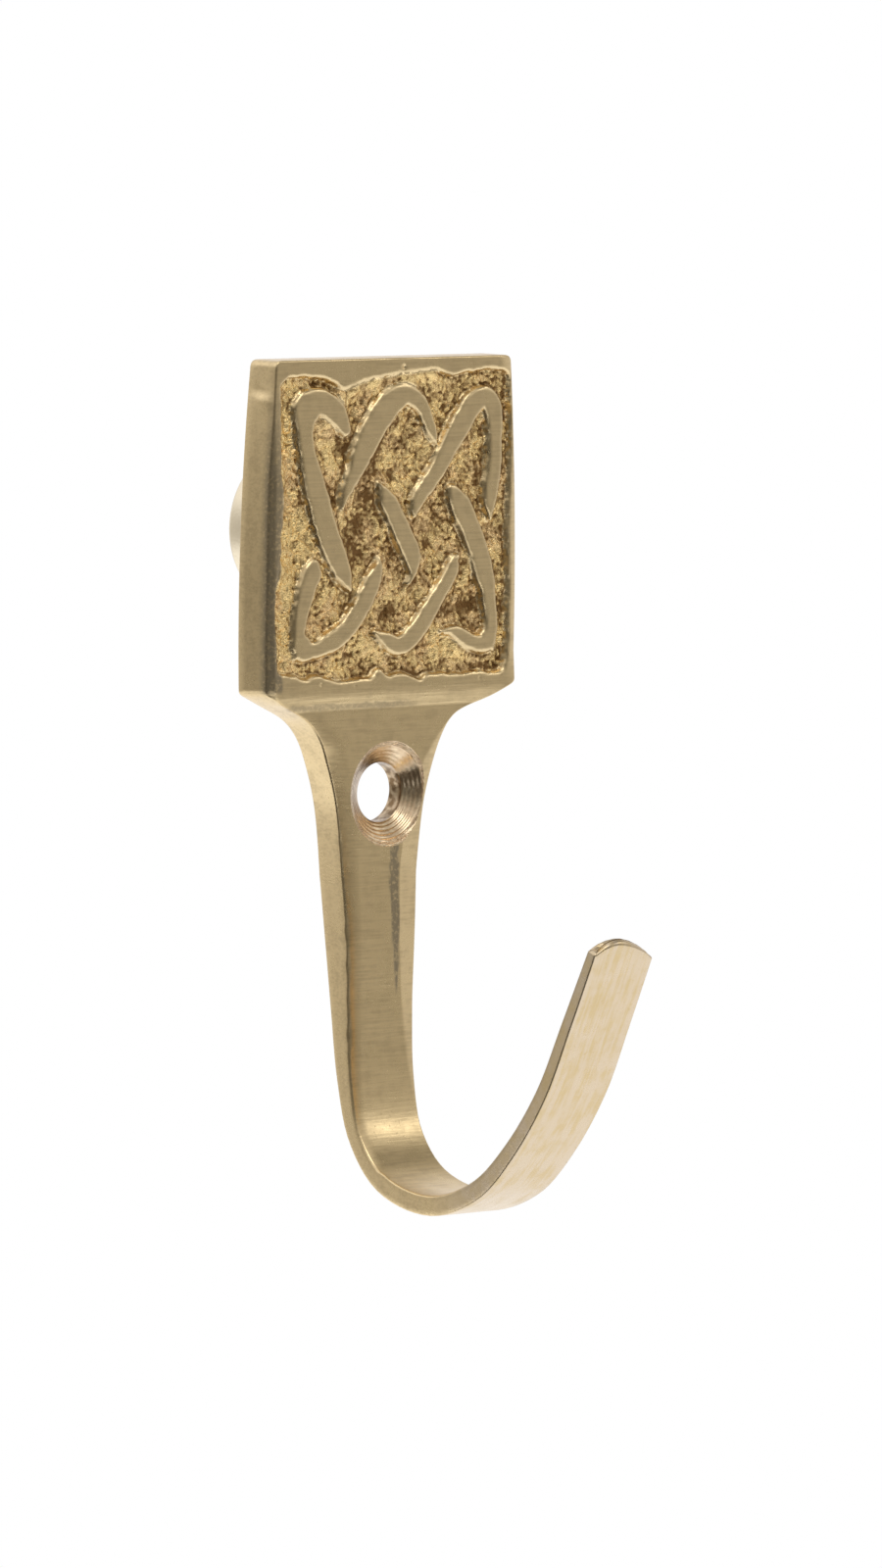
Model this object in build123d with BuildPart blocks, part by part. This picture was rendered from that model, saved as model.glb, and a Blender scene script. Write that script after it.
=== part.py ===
from build123d import *
import os

# Wall hook cast in brass in one piece: a knotwork plate above, a neck with one countersunk
# screw hole, and a flat shank that thins as it sweeps forward and up into an open hook.
# Millimetres. The origin is the screw hole's axis on the wall plane: the back lies in the
# plane Y = 0, the hook comes forward to -Y, +Z is up and X runs across the hook.

# Plate: a near square, a little wider at its foot, with a sunk ground inside a plain rim.
# Its sides bulge a little, and the left one leans in towards the front below the middle.
plate_thickness = 3.3
plate_top_width = 27.3
plate_foot_width = 29.0
plate_foot_z = 8.8
plate_height = 28.1
plate_centre_x = -0.45
plate_corner_radius = 0.6
left_bulge = 0.47
right_bulge = 0.38
left_lean = 0.6
ground_depth = 0.75
foot_bevel_height = 0.85
foot_bevel_depth = 0.2

# Boss on the back of the plate, cast with it, which sits in a drilled hole in the wall
boss_radius = 6.8
boss_length = 10.2
boss_bevel = 0.5
boss_drop = 0.85

# Screw hole through the neck, countersunk from the front
screw_hole_radius = 2.55
countersink_radius = 4.5
screw_hole_wall = 1.5

# Neck and shank: the shank hangs a little to the left of the screw hole
shank_centre_x = -1.3
neck_width = 11.2
shank_width = 7.2
shank_thickness = 3.25
left_shoulder_inset = 2.3
right_shoulder_inset = 2.6

# Facets filed on the front corners: the plate's left edge, and both edges of the shank
rim_facet_width = 0.85
rim_facet_depth = 0.3
left_facet_width = 0.85
left_facet_depth = 0.3
right_facet_width = 2.4
right_facet_depth = 0.45
facet_rise = 0.87

# Hook: how far it comes forward and drops, and where its tip ends
hook_reach = 33.75
hook_drop = 34.6
tip_z = -10.0
bend_thickness = 1.7
tip_thickness = 0.95
tip_width = 6.9
tip_shift = -0.25
tip_left_drop = 0.8
tip_right_drop = 1.45
tip_lean = 0.42

# How far a cutter stands clear of the casting
clearance = 1.0

plate_top_z = plate_foot_z + plate_height
boss_z = plate_foot_z + plate_height / 2 - boss_drop
shank_half = shank_width / 2
neck_half = neck_width / 2


def side_x(share, side):
    """The plate's edge on the left (-1) or right (+1) at a share of its height."""
    width = plate_foot_width + (plate_top_width - plate_foot_width) * share
    bulge = left_bulge if side < 0 else right_bulge
    return plate_centre_x + side * (width / 2 + bulge * 4 * share * (1 - share))


left_foot_x = side_x(0, -1)
right_foot_x = side_x(0, 1)
left_top_x = side_x(1, -1)
right_top_x = side_x(1, 1)


def offset_point(points, i, distance):
    """The point at a distance to the left of a run of points, seen along the run."""
    before = Vector(*points[max(i - 1, 0)])
    after = Vector(*points[min(i + 1, len(points) - 1)])
    along = (after - before).normalized()
    here = points[i]
    return (here[0] - along.Y * distance, here[1] + along.X * distance)


# Side view of the strap: its outer face as shares of the reach and the drop, from the wall
# down, round the bend and up to the tip, each with the strap's thickness there
def strap_stations():
    """Points (y, z) of the outer face with the thickness at each."""
    rise = tip_z + hook_drop
    spare = bend_thickness - tip_thickness
    down = [(0.0, 0.2, 1.0), (0.013, 0.36, 0.96), (0.033, 0.535, 0.77), (0.059, 0.70, 0.6)]
    bend = [(0.106, 0.846, 0.97), (0.209, 0.956, 1.0), (0.4, 1.0, 1.0)]
    up = [(0.58, 0.08, 0.9), (0.702, 0.236, 0.65), (0.815, 0.451, 0.45), (0.9, 0.695, 0.3),
          (1.0, 1.0, 0.0)]
    points = []
    for forward, drop, share in down:
        points.append((-forward * hook_reach, -drop * hook_drop, share * shank_thickness))
    for forward, drop, share in bend:
        points.append((-forward * hook_reach, -drop * hook_drop, share * bend_thickness))
    for forward, height, share in up:
        thickness = tip_thickness + share * spare
        points.append((-forward * hook_reach, height * rise - hook_drop, thickness))
    return points


stations = strap_stations()
outer = [(y, z) for y, z, thickness in stations]
inner = [offset_point(outer, i, -station[2]) for i, station in enumerate(stations)]
inner[0] = (-shank_thickness, outer[0][1])


def front_y(z):
    """The shank's front face at a height, between the side view's stations."""
    for (y_above, z_above), (y_below, z_below) in zip(inner, inner[1:]):
        if z_below <= z <= z_above:
            return y_above + (y_below - y_above) * (z - z_above) / (z_below - z_above)
    return -shank_thickness


# Front view of the neck and shank: rows (z, half width from the shank's own centre line,
# share of the left facet, share of the right facet). The right edge stands out by the
# right facet's depth.
neck_rows = [
    (0.72 * plate_foot_z, neck_half + 2.9, -0.1, -0.1),
    (0.54 * plate_foot_z, neck_half + 1.4, 0.4, 0.22),
    (0.26 * plate_foot_z, neck_half + 0.27, 0.8, 0.62),
    (-0.1 * plate_foot_z, neck_half - 0.68, 1.0, 0.88),
    (-0.66 * plate_foot_z, shank_half + 0.65, 1.0, 1.0),
    (-0.36 * hook_drop, shank_half + 0.2, 0.95, 0.93),
    (-0.52 * hook_drop, shank_half + 0.02, 0.75, 0.67),
    (-0.7 * hook_drop, shank_half, 0.3, 0.25),
    (-0.8 * hook_drop, shank_half, -0.1, -0.1),
]
neck_shoulder_z = 0.88 * plate_foot_z
neck_front_z = 0.6 * plate_foot_z
neck_left = []
neck_right = []
left_facet = []
right_facet = []
for z, half, left_share, right_share in neck_rows:
    left_x = shank_centre_x - half
    right_x = shank_centre_x + half + max(right_share, 0) * right_facet_depth
    neck_left.append((left_x, z))
    neck_right.append((right_x, z))
    left_facet.append((z, left_x, front_y(z), left_share * left_facet_width))
    right_facet.append((z, right_x, front_y(z), -right_share * right_facet_width))


def band(stations):
    """A raised band of the knot from its centre line and half width at each station.

    An end with no width runs out to a point; any other end is cut square."""
    centre = [(x, z) for x, z, half in stations]
    left = [offset_point(centre, i, half) for i, (x, z, half) in enumerate(stations)]
    right = [offset_point(centre, i, -half) for i, (x, z, half) in enumerate(stations)]
    with BuildLine() as outline:
        Spline(*left)
        Spline(*right)
        if stations[0][2] > 0:
            Line(left[0], right[0])
        if stations[-1][2] > 0:
            Line(left[-1], right[-1])
    make_face(outline.edges())


# The knot: two loops stand at the top and bottom left, one fills the top right, and three
# diagonals run under and over them. Each station is (x, z, half width), measured from the
# screw hole, and each band stops short of the one that it passes under.
left_loop = [(-6.0, 30.9, 0.45), (-6.8, 32.1, 0.9), (-7.8, 32.9, 1.05), (-9.2, 33.3, 1.15),
             (-10.5, 32.7, 1.3), (-10.6, 30.9, 0.9), (-10.4, 29.3, 0.85), (-9.8, 27.4, 1.0),
             (-9.0, 25.1, 1.15), (-8.1, 22.7, 1.15), (-6.8, 20.5, 1.15), (-5.2, 18.1, 1.0)]
centre_loop = [(-6.2, 24.3, 0), (-5.7, 25.7, 0.5), (-4.9, 27.3, 0.75), (-3.6, 29.5, 1.15),
               (-2.3, 31.5, 1.25), (-0.7, 33.1, 1.2), (1.0, 33.7, 0.9), (2.5, 33.0, 0.75),
               (3.4, 31.7, 0.6), (4.3, 29.9, 0.4)]
right_loop = [(2.1, 24.3, 0.8), (3.3, 25.7, 0.72), (4.5, 27.0, 0.78), (6.1, 29.3, 0.95),
              (7.7, 31.5, 1.05), (8.8, 32.8, 1.0), (10.1, 33.3, 0.9), (11.1, 32.2, 0.95),
              (11.3, 30.0, 0.77), (11.3, 27.3, 0.75), (10.9, 25.3, 0.8), (10.9, 22.9, 0)]
centre_diagonal = [(-2.0, 26.3, 0), (-0.9, 24.6, 0.8), (0.1, 23.0, 0.9), (1.2, 21.3, 0.95),
                   (1.9, 19.9, 0.85), (2.0, 18.5, 0.3), (1.5, 17.7, 0)]
right_diagonal = [(6.5, 25.4, 0.6), (7.5, 24.0, 1.05), (8.6, 22.2, 1.05), (9.6, 20.2, 1.03),
                  (10.3, 18.5, 1.0), (10.9, 16.2, 0.75), (11.2, 13.9, 0.65), (10.8, 12.4, 0.75),
                  (9.5, 12.3, 0.65), (8.1, 12.8, 0.7), (6.8, 13.4, 0.45), (5.4, 13.4, 0)]
foot_loop = [(-9.3, 20.0, 0), (-9.5, 18.9, 0.85), (-10.1, 17.5, 0.88), (-10.7, 15.6, 0.75),
             (-11.0, 13.7, 0.65), (-10.6, 12.4, 0.85), (-9.4, 12.3, 0.65), (-8.1, 12.6, 0.75),
             (-6.6, 13.3, 0.85), (-5.1, 14.3, 0.82), (-3.7, 16.0, 0.88), (-2.6, 17.8, 0.8),
             (-1.9, 19.2, 0.3), (-1.9, 19.9, 0)]
foot_diagonal = [(6.9, 19.5, 0.35), (6.4, 18.3, 0.62), (5.1, 16.6, 0.73), (3.9, 15.1, 0.8),
                 (2.5, 13.5, 0.87), (1.3, 12.6, 0.8), (0.2, 12.4, 0.7), (-0.9, 12.9, 0.6),
                 (-2.3, 13.6, 0)]
knot = [left_loop, centre_loop, right_loop, centre_diagonal, right_diagonal, foot_loop,
        foot_diagonal]

# Inner edge of the rim, which wanders as a hand-finished casting does: distances in from
# the plate's edges, going round from the top left
rim_left = [(1.15, 0.88), (1.4, 0.7), (1.95, 0.56), (1.6, 0.42), (1.4, 0.25), (1.5, 0.09)]
rim_foot = [(0.11, 1.45), (0.26, 0.95), (0.367, 0.85), (0.46, 1.9), (0.555, 1.15),
            (0.663, 0.8), (0.8, 0.95), (0.93, 0.95)]
rim_right = [(1.1, 0.1), (1.25, 0.35), (1.25, 0.55), (0.7, 0.75), (0.7, 0.9)]
rim_top = [(0.93, 1.25), (0.78, 1.7), (0.6, 1.2), (0.43, 1.9), (0.28, 2.2), (0.11, 1.2)]


def rim_points():
    points = []
    for inset, share in rim_left:
        points.append((side_x(share, -1) + inset, plate_foot_z + share * plate_height))
    for share, inset in rim_foot:
        points.append((left_foot_x + share * plate_foot_width, plate_foot_z + inset))
    for inset, share in rim_right:
        points.append((side_x(share, 1) - inset, plate_foot_z + share * plate_height))
    for share, inset in rim_top:
        points.append((left_top_x + share * plate_top_width, plate_top_z - inset))
    return points


# The facets' sections: rows (z, edge x, front y, width to the right of the edge). The
# plate's left side leans in by a share of the full lean at each share of its height, and
# its front corner is filed where the leaning side meets the face.
left_side = []
rim_facet = []
for share, lean_share, filed_share in [(1, 0, 0), (facet_rise, 0.3, 0), (0.64, 0.65, 0.8),
                                       (0.32, 1, 0.88), (0, 0.92, 1)]:
    z = plate_foot_z + share * plate_height
    edge_x = side_x(share, -1)
    lean = lean_share * left_lean
    left_side.append((z, edge_x, -plate_thickness, lean))
    if share <= facet_rise:
        rim_facet.append((z, edge_x + lean, -plate_thickness, filed_share * rim_facet_width))
for rows in (left_side, rim_facet):
    z, edge_x, face_y, width = rows[-1]
    rows.append((z - foot_bevel_height, edge_x, face_y, width))
facets = [
    (left_side, plate_thickness / left_lean),
    (rim_facet, rim_facet_depth / rim_facet_width),
    (left_facet, left_facet_depth / left_facet_width),
    (right_facet, -right_facet_depth / right_facet_width),
]

# The side view is drawn through the whole width, then cut to the front view
with BuildPart() as wall_hook:
    with BuildSketch(Plane.YZ) as side_view:
        with BuildLine():
            Line((0, plate_top_z), outer[0])
            Spline(*outer, tangents=[(0, -1), (-tip_lean, 1)])
            Line(outer[-1], inner[-1])
            Spline(*inner, tangents=[(0, -1), (-tip_lean, 1)])
            Polyline(
                inner[0],
                (-shank_thickness, neck_front_z),
                (foot_bevel_depth - plate_thickness, plate_foot_z - foot_bevel_height),
                (-plate_thickness, plate_foot_z),
                (-plate_thickness, plate_top_z),
                (0, plate_top_z),
            )
        make_face()
    extrude(amount=plate_foot_width, both=True)

    # Front view: the plate, the flare of the neck below it and the parallel shank
    left_shoulder = (left_foot_x + left_shoulder_inset, neck_shoulder_z)
    right_shoulder = (right_foot_x - right_shoulder_inset, neck_shoulder_z)
    with BuildSketch(Plane.XZ) as front_view:
        with BuildLine():
            ThreePointArc(
                (left_foot_x, plate_foot_z),
                (side_x(0.5, -1), plate_foot_z + plate_height / 2),
                (left_top_x, plate_top_z),
            )
            Line((left_top_x, plate_top_z), (right_top_x, plate_top_z))
            ThreePointArc(
                (right_top_x, plate_top_z),
                (side_x(0.5, 1), plate_foot_z + plate_height / 2),
                (right_foot_x, plate_foot_z),
            )
            Spline((right_foot_x, plate_foot_z), right_shoulder, *neck_right)
            Spline((left_foot_x, plate_foot_z), left_shoulder, *neck_left)
            Polyline(
                neck_left[-1],
                (neck_left[-1][0], -hook_drop - clearance),
                (neck_right[-1][0], -hook_drop - clearance),
                neck_right[-1],
            )
        make_face()
        fillet(front_view.vertices().group_by(Axis.Y)[-1], plate_corner_radius)
    extrude(amount=hook_reach + plate_thickness, both=True, mode=Mode.INTERSECT)

    # The facets are filed off with long wedges
    for rows, slope in facets:
        outside = -clearance if slope > 0 else clearance
        for z, edge_x, face_y, width in rows:
            with BuildSketch(Plane.XY.offset(z)):
                with BuildLine():
                    Polyline(
                        (edge_x + width, face_y),
                        (edge_x + width, face_y - clearance),
                        (edge_x + outside, face_y - clearance),
                        (edge_x + outside, face_y + slope * (width - outside)),
                        close=True,
                    )
                make_face()
        loft(ruled=True, mode=Mode.SUBTRACT)

    # The arm narrows to a tip whose end is a shallow arc, lower on the right
    arm_back = 0.6 * hook_reach
    arm_foot_z = neck_left[-1][1]
    tip_left = (shank_centre_x + tip_shift - tip_width / 2, tip_z - tip_left_drop)
    tip_right = (shank_centre_x + tip_shift + tip_width / 2, tip_z - tip_right_drop)
    crown_share = tip_left_drop**0.5 / (tip_left_drop**0.5 + tip_right_drop**0.5)
    with BuildSketch(Plane.XZ.offset(arm_back)):
        with Locations((shank_centre_x, tip_z)):
            Rectangle(2 * plate_foot_width, 2 * (tip_z - arm_foot_z))
        with BuildLine():
            Polyline(
                tip_left,
                (shank_centre_x - shank_half, arm_foot_z),
                (shank_centre_x + shank_half, arm_foot_z),
                tip_right,
            )
            ThreePointArc(tip_left, (tip_left[0] + crown_share * tip_width, tip_z), tip_right)
        make_face(mode=Mode.SUBTRACT)
    extrude(amount=hook_reach, mode=Mode.SUBTRACT)

    # The sunk ground of the plate, and the knot standing on it to the height of the rim
    rim = rim_points()
    with BuildSketch(Plane.XZ.offset(plate_thickness)):
        with BuildLine():
            Spline(*rim, periodic=True)
        make_face()
    extrude(amount=-ground_depth, mode=Mode.SUBTRACT)
    with BuildSketch(Plane.XZ.offset(plate_thickness - ground_depth)):
        for stations in knot:
            band(stations)
    extrude(amount=ground_depth)

    # The boss on the back, with a bevelled end that finds its hole in the wall
    boss_axis = Axis((plate_centre_x, 0, boss_z), (0, 1, 0))
    with BuildSketch(Plane.XY.offset(boss_z)) as boss_section:
        with BuildLine():
            Polyline(
                (plate_centre_x, -ground_depth),
                (plate_centre_x + boss_radius, -ground_depth),
                (plate_centre_x + boss_radius, boss_length - boss_bevel),
                (plate_centre_x + boss_radius - boss_bevel, boss_length),
                (plate_centre_x, boss_length),
                close=True,
            )
        make_face()
    revolve(axis=boss_axis)

    # The screw hole, drilled through and countersunk from the front
    with BuildSketch(Plane.XY) as hole_section:
        with BuildLine():
            Polyline(
                (0, clearance),
                (screw_hole_radius, clearance),
                (screw_hole_radius, -screw_hole_wall),
                (countersink_radius, -shank_thickness),
                (countersink_radius, -shank_thickness - clearance),
                (0, -shank_thickness - clearance),
                close=True,
            )
        make_face()
    revolve(axis=Axis.Y, mode=Mode.SUBTRACT)

wall_hook.part.label = "wall_hook"
os.makedirs("parts", exist_ok=True)
export_step(wall_hook.part, "parts/wall_hook.step")
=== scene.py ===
import math

import bmesh
import bpy
import numpy as np
from mathutils import Matrix, Vector


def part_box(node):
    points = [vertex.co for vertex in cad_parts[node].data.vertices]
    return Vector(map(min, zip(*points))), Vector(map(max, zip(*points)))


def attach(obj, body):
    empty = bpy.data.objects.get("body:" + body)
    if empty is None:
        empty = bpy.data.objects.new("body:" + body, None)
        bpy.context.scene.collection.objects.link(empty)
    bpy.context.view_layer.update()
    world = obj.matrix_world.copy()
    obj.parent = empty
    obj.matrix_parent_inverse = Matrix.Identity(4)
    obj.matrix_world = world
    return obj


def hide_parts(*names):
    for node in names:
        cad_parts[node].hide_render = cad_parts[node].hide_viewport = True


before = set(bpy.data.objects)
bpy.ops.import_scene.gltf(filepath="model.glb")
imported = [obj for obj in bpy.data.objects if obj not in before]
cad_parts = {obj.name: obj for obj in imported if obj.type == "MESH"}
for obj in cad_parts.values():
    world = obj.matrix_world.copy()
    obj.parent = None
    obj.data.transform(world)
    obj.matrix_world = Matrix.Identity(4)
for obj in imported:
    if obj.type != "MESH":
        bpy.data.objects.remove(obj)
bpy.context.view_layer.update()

MM = 0.001

# The strap
# The whole hook is one brass casting, drawn here as a strap that starts as the square
# plate, narrows through the neck to the shank, and bends forward and up to the tip.
# Every section across it is a closed ring, so the skin is one piece without a seam.
low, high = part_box("wall_hook")
plate_top = high[2] / MM
hook_drop = -low[2] / MM
hook_reach = -low[1] / MM
foot_half, top_half = 14.5, 13.65
plate_centre = -0.45
bulge = {-1: 0.47, 1: 0.38}
plate_foot = 8.8
plate_height = plate_top - plate_foot
plate_thickness = 3.3
shank_centre = -1.3
shank_half = 3.6
shank_thickness = 3.25
bend_thickness = 1.7
tip_halves = {-1: 3.7, 1: 3.2}
tip_thickness = 0.95
tip_z = -10.0
POINTS_PER_KNOT, STRAP_POINTS = 40, 600


def run_along(line):
    """Distance from a line's first point to each of its points."""
    steps = np.linalg.norm(np.diff(line[:, :2], axis=0), axis=1)
    return np.concatenate([[0.0], np.cumsum(steps)])


def smooth_line(knots, count):
    """Evenly spaced points on a smooth line through the knots, any number of columns."""
    knots = np.array(knots, float)
    reach = np.linalg.norm(np.diff(knots[:, :2], axis=0), axis=1) ** 0.5
    at = np.concatenate([[0.0], np.cumsum(reach)])
    step = np.diff(at)[:, None]
    rate = np.diff(knots, axis=0) / step
    slope = np.empty_like(knots)
    slope[1:-1] = (rate[:-1] * step[1:] + rate[1:] * step[:-1]) / (step[1:] + step[:-1])
    slope[0] = 1.5 * rate[0] - 0.5 * slope[1]
    slope[-1] = 1.5 * rate[-1] - 0.5 * slope[-2]
    fine = np.linspace(0, at[-1], POINTS_PER_KNOT * len(knots))
    i = np.clip(np.searchsorted(at, fine, side="right") - 1, 0, len(knots) - 2)
    t = ((fine - at[i]) / np.diff(at)[i])[:, None]
    h = step[i]
    line = (
        (2 * t**3 - 3 * t**2 + 1) * knots[i]
        + (t**3 - 2 * t**2 + t) * h * slope[i]
        + (3 * t**2 - 2 * t**3) * knots[i + 1]
        + (t**3 - t**2) * h * slope[i + 1]
    )
    run = run_along(line)
    even = np.linspace(0, run[-1], count)
    return np.stack([np.interp(even, run, column) for column in line.T], 1)


# Side view of the strap below the screw hole, as (y, z, thickness) of its back: down the
# shank, round the bend and up the arm
rise = tip_z + hook_drop
strap_knots = [
    (0.0, -0.2 * hook_drop, shank_thickness),
    (-0.013 * hook_reach, -0.36 * hook_drop, 0.96 * shank_thickness),
    (-0.033 * hook_reach, -0.535 * hook_drop, 0.77 * shank_thickness),
    (-0.059 * hook_reach, -0.70 * hook_drop, 0.6 * shank_thickness),
    (-0.106 * hook_reach, -0.846 * hook_drop, 0.97 * bend_thickness),
    (-0.209 * hook_reach, -0.956 * hook_drop, bend_thickness),
    (-0.4 * hook_reach, -hook_drop, bend_thickness),
    (-0.58 * hook_reach, 0.08 * rise - hook_drop, 1.63),
    (-0.702 * hook_reach, 0.236 * rise - hook_drop, 1.44),
    (-0.815 * hook_reach, 0.451 * rise - hook_drop, 1.29),
    (-0.9 * hook_reach, 0.695 * rise - hook_drop, 1.18),
    (-hook_reach, tip_z, tip_thickness),
]
strap = smooth_line(strap_knots, STRAP_POINTS)
strap_run = run_along(strap)
flat_length = plate_top - strap[0, 1]
length = flat_length + strap_run[-1]
along = np.gradient(strap[:, :2], axis=0)
along /= np.linalg.norm(along, axis=1)[:, None]

# Tables of the back and of the way to the front, from the top of the plate (0) to the
# crown of the tip (length)
table_s = np.concatenate([[0.0], flat_length + strap_run])
table_y = np.concatenate([[0.0], strap[:, 0]])
table_z = np.concatenate([[plate_top], strap[:, 1]])
table_ny = np.concatenate([[-1.0], along[:, 1]])
table_nz = np.concatenate([[0.0], -along[:, 0]])

# Front view of the neck: its edges run from the plate's foot corners in to the shank,
# and the right edge stands out by the depth of its filed facet
shoulder_in = {-1: 2.3, 1: 2.6}
shoulder_z = 7.74
neck_z = np.array([6.34, 4.75, 2.29, -0.88, -5.8, -12.46, -18.0, -24.2, -27.7])
neck_halves = np.array([8.5, 7.0, 5.87, 4.92, 4.25, 3.8, 3.62, 3.6, 3.6])
right_shares = np.array([0, 0.22, 0.62, 0.88, 1, 0.93, 0.67, 0.25, 0])
LEFT_WIDTH, LEFT_DEPTH = 0.7, 0.45
RIGHT_WIDTH, RIGHT_DEPTH = 2.4, 0.45
TOP_CORNER = 0.6
NECK_POINTS, EDGE_POINTS, BLUR_POINTS, KEPT_POINTS = 900, 4000, 25, 30


def edge_line(side):
    """The casting's left (-1) or right (+1) edge as x over z, from the plate's top down."""
    knots = [(plate_centre + side * foot_half, plate_foot),
             (plate_centre + side * (foot_half - shoulder_in[side]), shoulder_z)]
    halves = neck_halves + (RIGHT_DEPTH * right_shares if side > 0 else 0)
    knots += [(shank_centre + side * half, z) for z, half in zip(neck_z, halves)]
    curve = smooth_line(knots, NECK_POINTS)
    z = np.linspace(plate_top, neck_z[-1], EDGE_POINTS)
    up_plate = (z - plate_foot) / plate_height
    half = foot_half + (top_half - foot_half) * up_plate
    half += bulge[side] * 4 * up_plate * (1 - up_plate)
    on_plate = plate_centre + side * half
    on_neck = np.interp(-z, -curve[:, 1], curve[:, 0])
    x = np.where(z > plate_foot, on_plate, on_neck)
    blur = np.ones(BLUR_POINTS) / BLUR_POINTS
    inner = slice(KEPT_POINTS, -KEPT_POINTS)
    x[inner] = np.convolve(np.convolve(x, blur, "same"), blur, "same")[inner]
    in_corner = np.clip(TOP_CORNER - (plate_top - z), 0, TOP_CORNER)
    x -= side * (TOP_CORNER - np.sqrt(TOP_CORNER**2 - in_corner**2))
    return z, x


# The arm tapers over this stretch, measured back from the tip; its edges count from this
# share of the strap on
TAPER_START, TAPER_END = 22, 1.2
BEND_SHARE = 0.35
edges = {side: edge_line(side) for side in (-1, 1)}


def edge_x(side, s):
    """Where the casting's edge lies at a distance down the hook."""
    z = np.interp(s, table_s, table_z)
    line_z, line_x = edges[side]
    on_front = np.interp(-z, -line_z, line_x)
    half = np.interp(s, [length - TAPER_START, length - TAPER_END], [shank_half, tip_halves[side]])
    past_shank = s > flat_length + BEND_SHARE * strap_run[-1]
    return np.where(past_shank, shank_centre + side * half, on_front)


# The plate's foot is bevelled back to the top of the neck: heights, and thickness there
bevel_z = np.array([plate_foot + 0.2, plate_foot - 0.2, plate_foot - 0.5, plate_foot - 1.05,
                    7.1, 4.4])
bevel_thickness = np.array([plate_thickness, 3.285, 3.255, 3.165, 3.05, shank_thickness])


def thickness(s):
    """How thick the casting is from its back to its front, before any carving."""
    on_front = np.interp(-np.interp(s, table_s, table_z), -bevel_z, bevel_thickness)
    on_strap = np.interp(s - flat_length, strap_run, strap[:, 2])
    return np.where(s < flat_length, on_front, on_strap)


# The knot and the sunk ground
# The plate's face is cast in low relief: a knot of flat bands and a plain rim stand above
# a grainy sunk ground. The flats were ground bright afterwards, so their edges waver.

# Each band is a row of (x, z, half width), and the rim's edge a closed line of (x, z)
left_loop = [(-6.0, 30.9, 0.45), (-6.8, 32.1, 0.9), (-7.8, 32.9, 1.05), (-9.2, 33.3, 1.15),
             (-10.5, 32.7, 1.3), (-10.6, 30.9, 0.9), (-10.4, 29.3, 0.85), (-9.8, 27.4, 1.0),
             (-9.0, 25.1, 1.15), (-8.1, 22.7, 1.15), (-6.9, 20.3, 1.1), (-5.9, 18.6, 0.75),
             (-5.2, 17.3, 0.1)]
centre_loop = [(-6.2, 24.3, 0.05), (-5.7, 25.7, 0.5), (-4.9, 27.3, 0.75), (-3.6, 29.5, 1.15),
               (-2.3, 31.5, 1.25), (-0.7, 33.1, 1.2), (1.0, 33.7, 0.9), (2.5, 33.0, 0.75),
               (3.4, 31.7, 0.6), (4.0, 30.5, 0.45), (4.5, 29.5, 0.05)]
right_loop = [(2.1, 23.4, 0.05), (2.3, 24.4, 0.55), (3.3, 25.7, 0.72), (4.5, 27.0, 0.78),
              (6.1, 29.3, 0.95), (7.7, 31.5, 1.05), (8.8, 32.8, 1.0), (10.1, 33.3, 0.9),
              (11.1, 32.2, 0.95), (11.3, 30.0, 0.77), (11.3, 27.3, 0.75), (10.9, 25.3, 0.8),
              (10.9, 22.9, 0.05)]
centre_diagonal = [(-2.0, 26.3, 0.05), (-0.9, 24.6, 0.8), (0.1, 23.0, 0.9), (1.2, 21.3, 0.95),
                   (1.9, 19.9, 0.85), (2.0, 18.5, 0.3), (1.5, 17.7, 0.05)]
right_diagonal = [(6.3, 25.6, 0.25), (6.8, 25.0, 0.7), (7.5, 24.0, 1.05), (8.6, 22.2, 1.05),
                  (9.6, 20.2, 1.03), (10.3, 18.5, 1.0), (10.9, 16.2, 0.75), (11.2, 13.9, 0.65),
                  (10.8, 12.4, 0.75), (9.5, 12.3, 0.65), (8.1, 12.8, 0.7), (6.8, 13.4, 0.45),
                  (5.4, 13.4, 0.05)]
foot_loop = [(-9.3, 20.0, 0.05), (-9.5, 18.9, 0.85), (-10.1, 17.5, 0.88), (-10.7, 15.6, 0.75),
             (-11.0, 13.7, 0.65), (-10.6, 12.4, 0.85), (-9.4, 12.3, 0.65), (-8.1, 12.6, 0.75),
             (-6.6, 13.3, 0.85), (-5.1, 14.3, 0.82), (-3.7, 16.0, 0.88), (-2.6, 17.8, 0.8),
             (-1.9, 19.2, 0.3), (-1.9, 19.9, 0.05)]
foot_diagonal = [(7.2, 19.8, 0.1), (6.9, 19.3, 0.4), (6.4, 18.3, 0.62), (5.1, 16.6, 0.73),
                 (3.9, 15.1, 0.8), (2.5, 13.5, 0.87), (1.3, 12.6, 0.8), (0.2, 12.4, 0.7),
                 (-0.9, 12.9, 0.6), (-2.3, 13.6, 0.05)]
corners = [[(-10.2, 32.6, 1.2), (-10.7, 33.1, 0.75), (-11.2, 33.65, 0.1)],
           [(-10.5, 12.8, 0.8), (-11.0, 12.2, 0.45), (-11.4, 11.7, 0.05)],
           [(10.6, 12.7, 0.6), (11.05, 12.2, 0.35), (11.45, 11.7, 0.05)],
           [(1.6, 20.5, 0.8), (2.2, 20.2, 0.45), (2.8, 19.9, 0.1)]]
knot = [left_loop, centre_loop, right_loop, centre_diagonal, right_diagonal, foot_loop,
        foot_diagonal] + corners
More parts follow.
